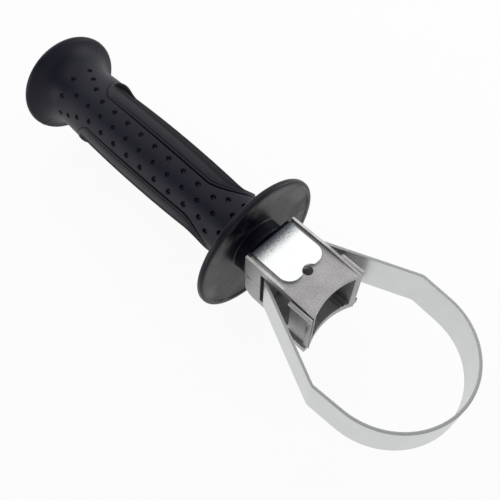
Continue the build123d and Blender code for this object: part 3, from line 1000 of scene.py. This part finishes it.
class SIDEHANDLE_OT_core(Operator):
    """Hard plastic core: hub, guard disc and the side panels that show through the rubber"""

    bl_idname = "sidehandle.core"
    bl_label = "Core and Guard"

    def execute(self, context):
        settings = context.scene.sidehandle_grip
        material = moulded_material("hard_plastic", settings.plastic_colour, rough=0.36, specular=0.23,
                                    grain_size=0.5, grain_depth=0.02)
        # Painted shade: the sunk recess floor is darkened and dulled, standing in for the shadow in the
        # finger recess
        recess_shade_colour = shade_of(settings.plastic_colour, PAINTED_RECESS_SHADE)
        coat(material, stored(material, "sunk"), recess_shade_colour, rough=0.9)
        # Painted reflection: a lighter brownish coat in patches over the guard's face
        dusty = patchy(material, stored(material, "dusty"), low=0.42, high=0.64)
        coat(material, dusty, settings.guard_reflection_colour, rough=0.42)
        dish_r = GUARD_R - GUARD_LIP_W
        profile = rounded_profile((
            (BORE_END, 0, 0),
            (BORE_END, BORE_R, 0),
            (HUB_FACE, BORE_R, 0),
            (HUB_FACE, HUB_R, HUB_EDGE_R),
            (GUARD_FACE - GUARD_DISH, HUB_R, HUB_FILLET_R),
            (GUARD_FACE - GUARD_LIP_H, dish_r - GUARD_LIP_H, DISH_FILLET_R),
            (GUARD_FACE, dish_r, GUARD_LIP_EDGE_R),
            (GUARD_FACE, GUARD_R, GUARD_EDGE_R),
            (GUARD_FACE - GUARD_RIM_T, GUARD_R, GUARD_EDGE_R),
            (GRIP_START, NECK_R, HUB_FILLET_R),
            (GRIP_START, NECK_R - SOFT_T, 0),
            (BELLY_X, BELLY_R - SOFT_T, 0),
            (CORE_END + CORE_FLANGE_T, WAIST_R - SOFT_T, 0),
            (CORE_END + CORE_FLANGE_T, CORE_FLANGE_R, 0),
            (CORE_END, CORE_FLANGE_R, 0),
            (CORE_END, 0, 0),
        ))
        piece = new_piece("core_and_guard", lathe("core_and_guard", profile))
        pad_mesh = side_pad()
        pads = []
        for side in (0, 1):
            pad = new_piece(f"side_pad_{side}", pad_mesh.copy())
            pad.data.transform(Matrix.Rotation(math.pi * side, 4, "X"))
            union = piece.modifiers.new(pad.name, "BOOLEAN")
            union.operation = "UNION"
            union.solver = "EXACT"
            union.object = pad
            pads.append(pad)
        finish_piece(piece, material, "grip", "hard_plastic", "grip_core")
        piece.data.set_sharp_from_angle(angle=CORE_CREASE)
        mark_core(piece.data)
        for pad in pads:
            bpy.data.objects.remove(pad)
        return {"FINISHED"}


def dress_node(node, name, edge, material, body, slot):
    """Replaces a frame node with its own mesh, its edges rounded and its flat faces kept flat."""
    bm = bmesh.new()
    bm.from_mesh(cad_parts[node].data)
    bmesh.ops.remove_doubles(bm, verts=bm.verts, dist=MERGE / 10)
    piece = new_piece(name, mesh_of(bm, name))
    bevel = piece.modifiers.new("eased_edges", "BEVEL")
    bevel.width = edge
    bevel.segments = EASED_SEGMENTS
    bevel.limit_method = "ANGLE"
    bevel.angle_limit = EASED_ANGLE
    piece.modifiers.new("flat_faces", "WEIGHTED_NORMAL")
    finish_piece(piece, material, body, slot, node)


def rod_mesh(rods):
    """One mesh of round rods, each given by its middle, radius, length and turn from the Z axis."""
    bm = bmesh.new()
    for middle, radius, run, turn in rods:
        bmesh.ops.create_cone(bm, cap_ends=True, segments=ROD_SIDES, radius1=radius, radius2=radius,
                              depth=run, matrix=Matrix.Translation(middle) @ turn)
    return mesh_of(bm, "rods", smooth=lambda face: len(face.verts) == 4)


class SIDEHANDLE_OT_casting(Operator):
    """Cast clamp body with its saddle, windows and cheeks"""

    bl_idname = "sidehandle.casting"
    bl_label = "Cast Clamp Body"

    def execute(self, context):
        settings = context.scene.sidehandle_clamp
        material = metal_material("cast_alloy", settings.alloy_colour, rough=0.5, grain_size=0.6,
                                  grain_depth=0.06, stretch=(3.0, 8.0, 8.0), spread=0.2, speckle=0.65)
        # The tops of the rails, above RAIL_TOP, are lighter and smoother in patches
        top = math_node(material.node_tree, "GREATER_THAN", object_place(material, "Z"), RAIL_TOP)
        coat(material, patchy(material, top, low=0.25, high=0.5), settings.rail_top_colour, rough=0.4)
        dress_node("clamp_body", "cast_body", settings.cast_edge, material, "clamp", "cast_alloy")
        rods = []
        for side in (-1, 1):
            rim = Vector((CHEEK_FRONT - CHEEK_RIM_R, side * CHEEK_SIDE, (CHEEK_HIGH + CHEEK_LOW) / 2))
            rods.append((rim, CHEEK_RIM_R, CHEEK_HIGH - CHEEK_LOW, Matrix()))
            seam = Vector(((BLOCK_REAR + BLOCK_FRONT) / 2, side * (BLOCK_SIDE - SEAM_SUNK), 0))
            rods.append((seam, SEAM_R, BLOCK_FRONT - BLOCK_REAR, Matrix.Rotation(QUARTER, 4, "Y")))
        finish_piece(new_piece("cast_rims", rod_mesh(rods)), material, "clamp", "cast_alloy")
        return {"FINISHED"}


class SIDEHANDLE_OT_plate(Operator):
    """Bright thrust plate in the casting's recess"""

    bl_idname = "sidehandle.plate"
    bl_label = "Thrust Plate"

    def execute(self, context):
        settings = context.scene.sidehandle_clamp
        material = metal_material("bright_zinc", settings.plate_colour, rough=0.27, grain_size=0.5,
                                  grain_depth=0.012, stretch=(1.0, 14.0, 14.0), rubs=0.32, spread=0.04)
        tree = material.node_tree
        # Painted reflection: the plate's rear next to the hub is darkened as the guard's reflection, with
        # a ragged edge
        ragged = remap(tree, tree.nodes["surface_grain"].outputs["Grain"],
                       target=(-PLATE_REFLECTION_GRAIN / 2, PLATE_REFLECTION_GRAIN / 2))
        along = math_node(tree, "ADD", object_place(material, "X"), ragged)
        plate_reflection_mask = remap(tree, along, (PLATE_REFLECTION_FROM, PLATE_REFLECTION_TO), (1.0, 0.0), "SMOOTHSTEP")
        coat(material, plate_reflection_mask, settings.plate_reflection_colour, rough=0.34)
        dress_node("thrust_plate", "bright_plate", settings.sheet_edge, material, "clamp", "bright_zinc")
        return {"FINISHED"}


class SIDEHANDLE_OT_strap(Operator):
    """Steel strap bent to a loop"""

    bl_idname = "sidehandle.strap"
    bl_label = "Clamp Strap"

    def execute(self, context):
        settings = context.scene.sidehandle_clamp
        material = metal_material("strap_steel", settings.strap_colour, rough=0.34, grain_size=0.8,
                                  grain_depth=0.012, stretch=(8.0, 8.0, 1.0))
        height = math_node(material.node_tree, "ABSOLUTE", object_place(material, "Z"))
        cut = math_node(material.node_tree, "GREATER_THAN", height, STRAP_EDGE_Z)
        coat(material, cut, settings.strap_edge_colour, rough=0.6)
        dress_node("clamp_strap", "steel_strap", settings.sheet_edge, material, "strap", "strap_steel")
        return {"FINISHED"}


class SIDEHANDLE_OT_bolt(Operator):
    """Bolt and its captive nut"""

    bl_idname = "sidehandle.bolt"
    bl_label = "Bolt and Nut"

    def execute(self, context):
        settings = context.scene.sidehandle_clamp
        material = metal_material("plated_steel", settings.bolt_colour, rough=0.3, grain_size=0.6,
                                  grain_depth=0.01, stretch=(6.0, 6.0, 6.0))
        dress_node("clamp_bolt", "cup_head_bolt", settings.sheet_edge, material, "strap", "bolt_steel")
        dress_node("captive_nut", "captive_hex_nut", settings.sheet_edge, material, "grip", "nut_steel")
        return {"FINISHED"}


class SIDEHANDLE_OT_stage(Operator):
    """Floor with its pale walls, lamps, daylight and camera"""

    bl_idname = "sidehandle.stage"
    bl_label = "Stage"

    def execute(self, context):
        settings = context.scene.sidehandle_stage
        scene = context.scene
        scene.view_settings.view_transform = "Standard"
        mesh = bpy.data.meshes.new("floor")
        square = ((-1, -1), (1, -1), (1, 1), (-1, 1))
        corners = [(x * STUDIO_HALF, y * STUDIO_HALF, z) for z in (FLOOR_Z, WALL_TOP) for x, y in square]
        walls = [(k, k + 4, (k + 1) % 4 + 4, (k + 1) % 4) for k in range(4)]
        mesh.from_pydata(corners, [], [(0, 1, 2, 3), *walls])
        material, tree, shader = plain_material("floor_white", settings.floor_colour, 0.7, specular=0.2)
        glow = add_node(tree, "ShaderNodeEmission", {"Color": (1, 1, 1, 1), "Strength": 1.0})
        rays = add_node(tree, "ShaderNodeLightPath").outputs
        mirrored = math_node(tree, "MAXIMUM", rays["Is Glossy Ray"], rays["Is Transmission Ray"])
        seen = math_node(tree, "MAXIMUM", rays["Is Camera Ray"], mirrored)
        part = math_node(tree, "MULTIPLY", seen, FLOOR_GLOW)
        mix = add_node(tree, "ShaderNodeMixShader", {0: part, 1: shader.outputs[0], 2: glow.outputs[0]})
        tree.links.new(mix.outputs[0], tree.nodes["Material Output"].inputs["Surface"])
        mesh.materials.append(material)
        new_piece("floor", mesh)

        world = bpy.data.worlds.new("daylight")
        world.use_nodes = True
        sky = world.node_tree.nodes["Background"].inputs
        sky["Color"].default_value = (1, 1, 1, 1)
        sky["Strength"].default_value = settings.daylight
        scene.world = world

        for name, setting, wide, spot in LAMPS:
            lamp = bpy.data.lights.new(name, "AREA")
            lamp.energy = getattr(settings, setting)
            lamp.size = wide
            holder = new_piece(name, lamp)
            holder.location = Vector(spot) + LAMP_AIM
            holder.rotation_euler = (LAMP_AIM - holder.location).to_track_quat("-Z", "Y").to_euler()

        camera = bpy.data.cameras.new("camera")
        camera.lens = CAMERA_LENS
        camera.clip_start = CAMERA_NEAR
        holder = new_piece("camera", camera)
        holder.location = CAMERA_PLACE
        holder.rotation_euler = [math.radians(a) for a in CAMERA_TURN]
        scene.camera = holder
        return {"FINISHED"}


class SIDEHANDLE_PT_panel(Panel):
    """Lists the handle's pieces and settings"""

    bl_idname = "SIDEHANDLE_PT_panel"
    bl_label = "Side Handle"
    bl_space_type = "VIEW_3D"
    bl_region_type = "UI"
    bl_category = "Side Handle"

    def draw(self, context):
        for group in (getattr(context.scene, name) for name in GROUPS):
            box = self.layout.box()
            for name in group.__annotations__:
                box.prop(group, name)
        for step in STEPS:
            self.layout.operator(step.bl_idname)


STEPS = (
    SIDEHANDLE_OT_stage,
    SIDEHANDLE_OT_rubber,
    SIDEHANDLE_OT_core,
    SIDEHANDLE_OT_casting,
    SIDEHANDLE_OT_plate,
    SIDEHANDLE_OT_strap,
    SIDEHANDLE_OT_bolt,
)
GROUPS = {
    "sidehandle_grip": SIDEHANDLE_PG_grip,
    "sidehandle_clamp": SIDEHANDLE_PG_clamp,
    "sidehandle_stage": SIDEHANDLE_PG_stage,
}


def register():
    for name, group in GROUPS.items():
        bpy.utils.register_class(group)
        setattr(bpy.types.Scene, name, PointerProperty(type=group))
    for step in STEPS:
        bpy.utils.register_class(step)
    bpy.utils.register_class(SIDEHANDLE_PT_panel)


def unregister():
    bpy.utils.unregister_class(SIDEHANDLE_PT_panel)
    for step in reversed(STEPS):
        bpy.utils.unregister_class(step)
    for name, group in GROUPS.items():
        delattr(bpy.types.Scene, name)
        bpy.utils.unregister_class(group)


def main():
    """Builds everything in order."""
    register()
    grain_group()
    rub_group()
    for step in STEPS:
        family, name = step.bl_idname.split(".")
        getattr(getattr(bpy.ops, family), name)()


if __name__ == "__main__":
    main()
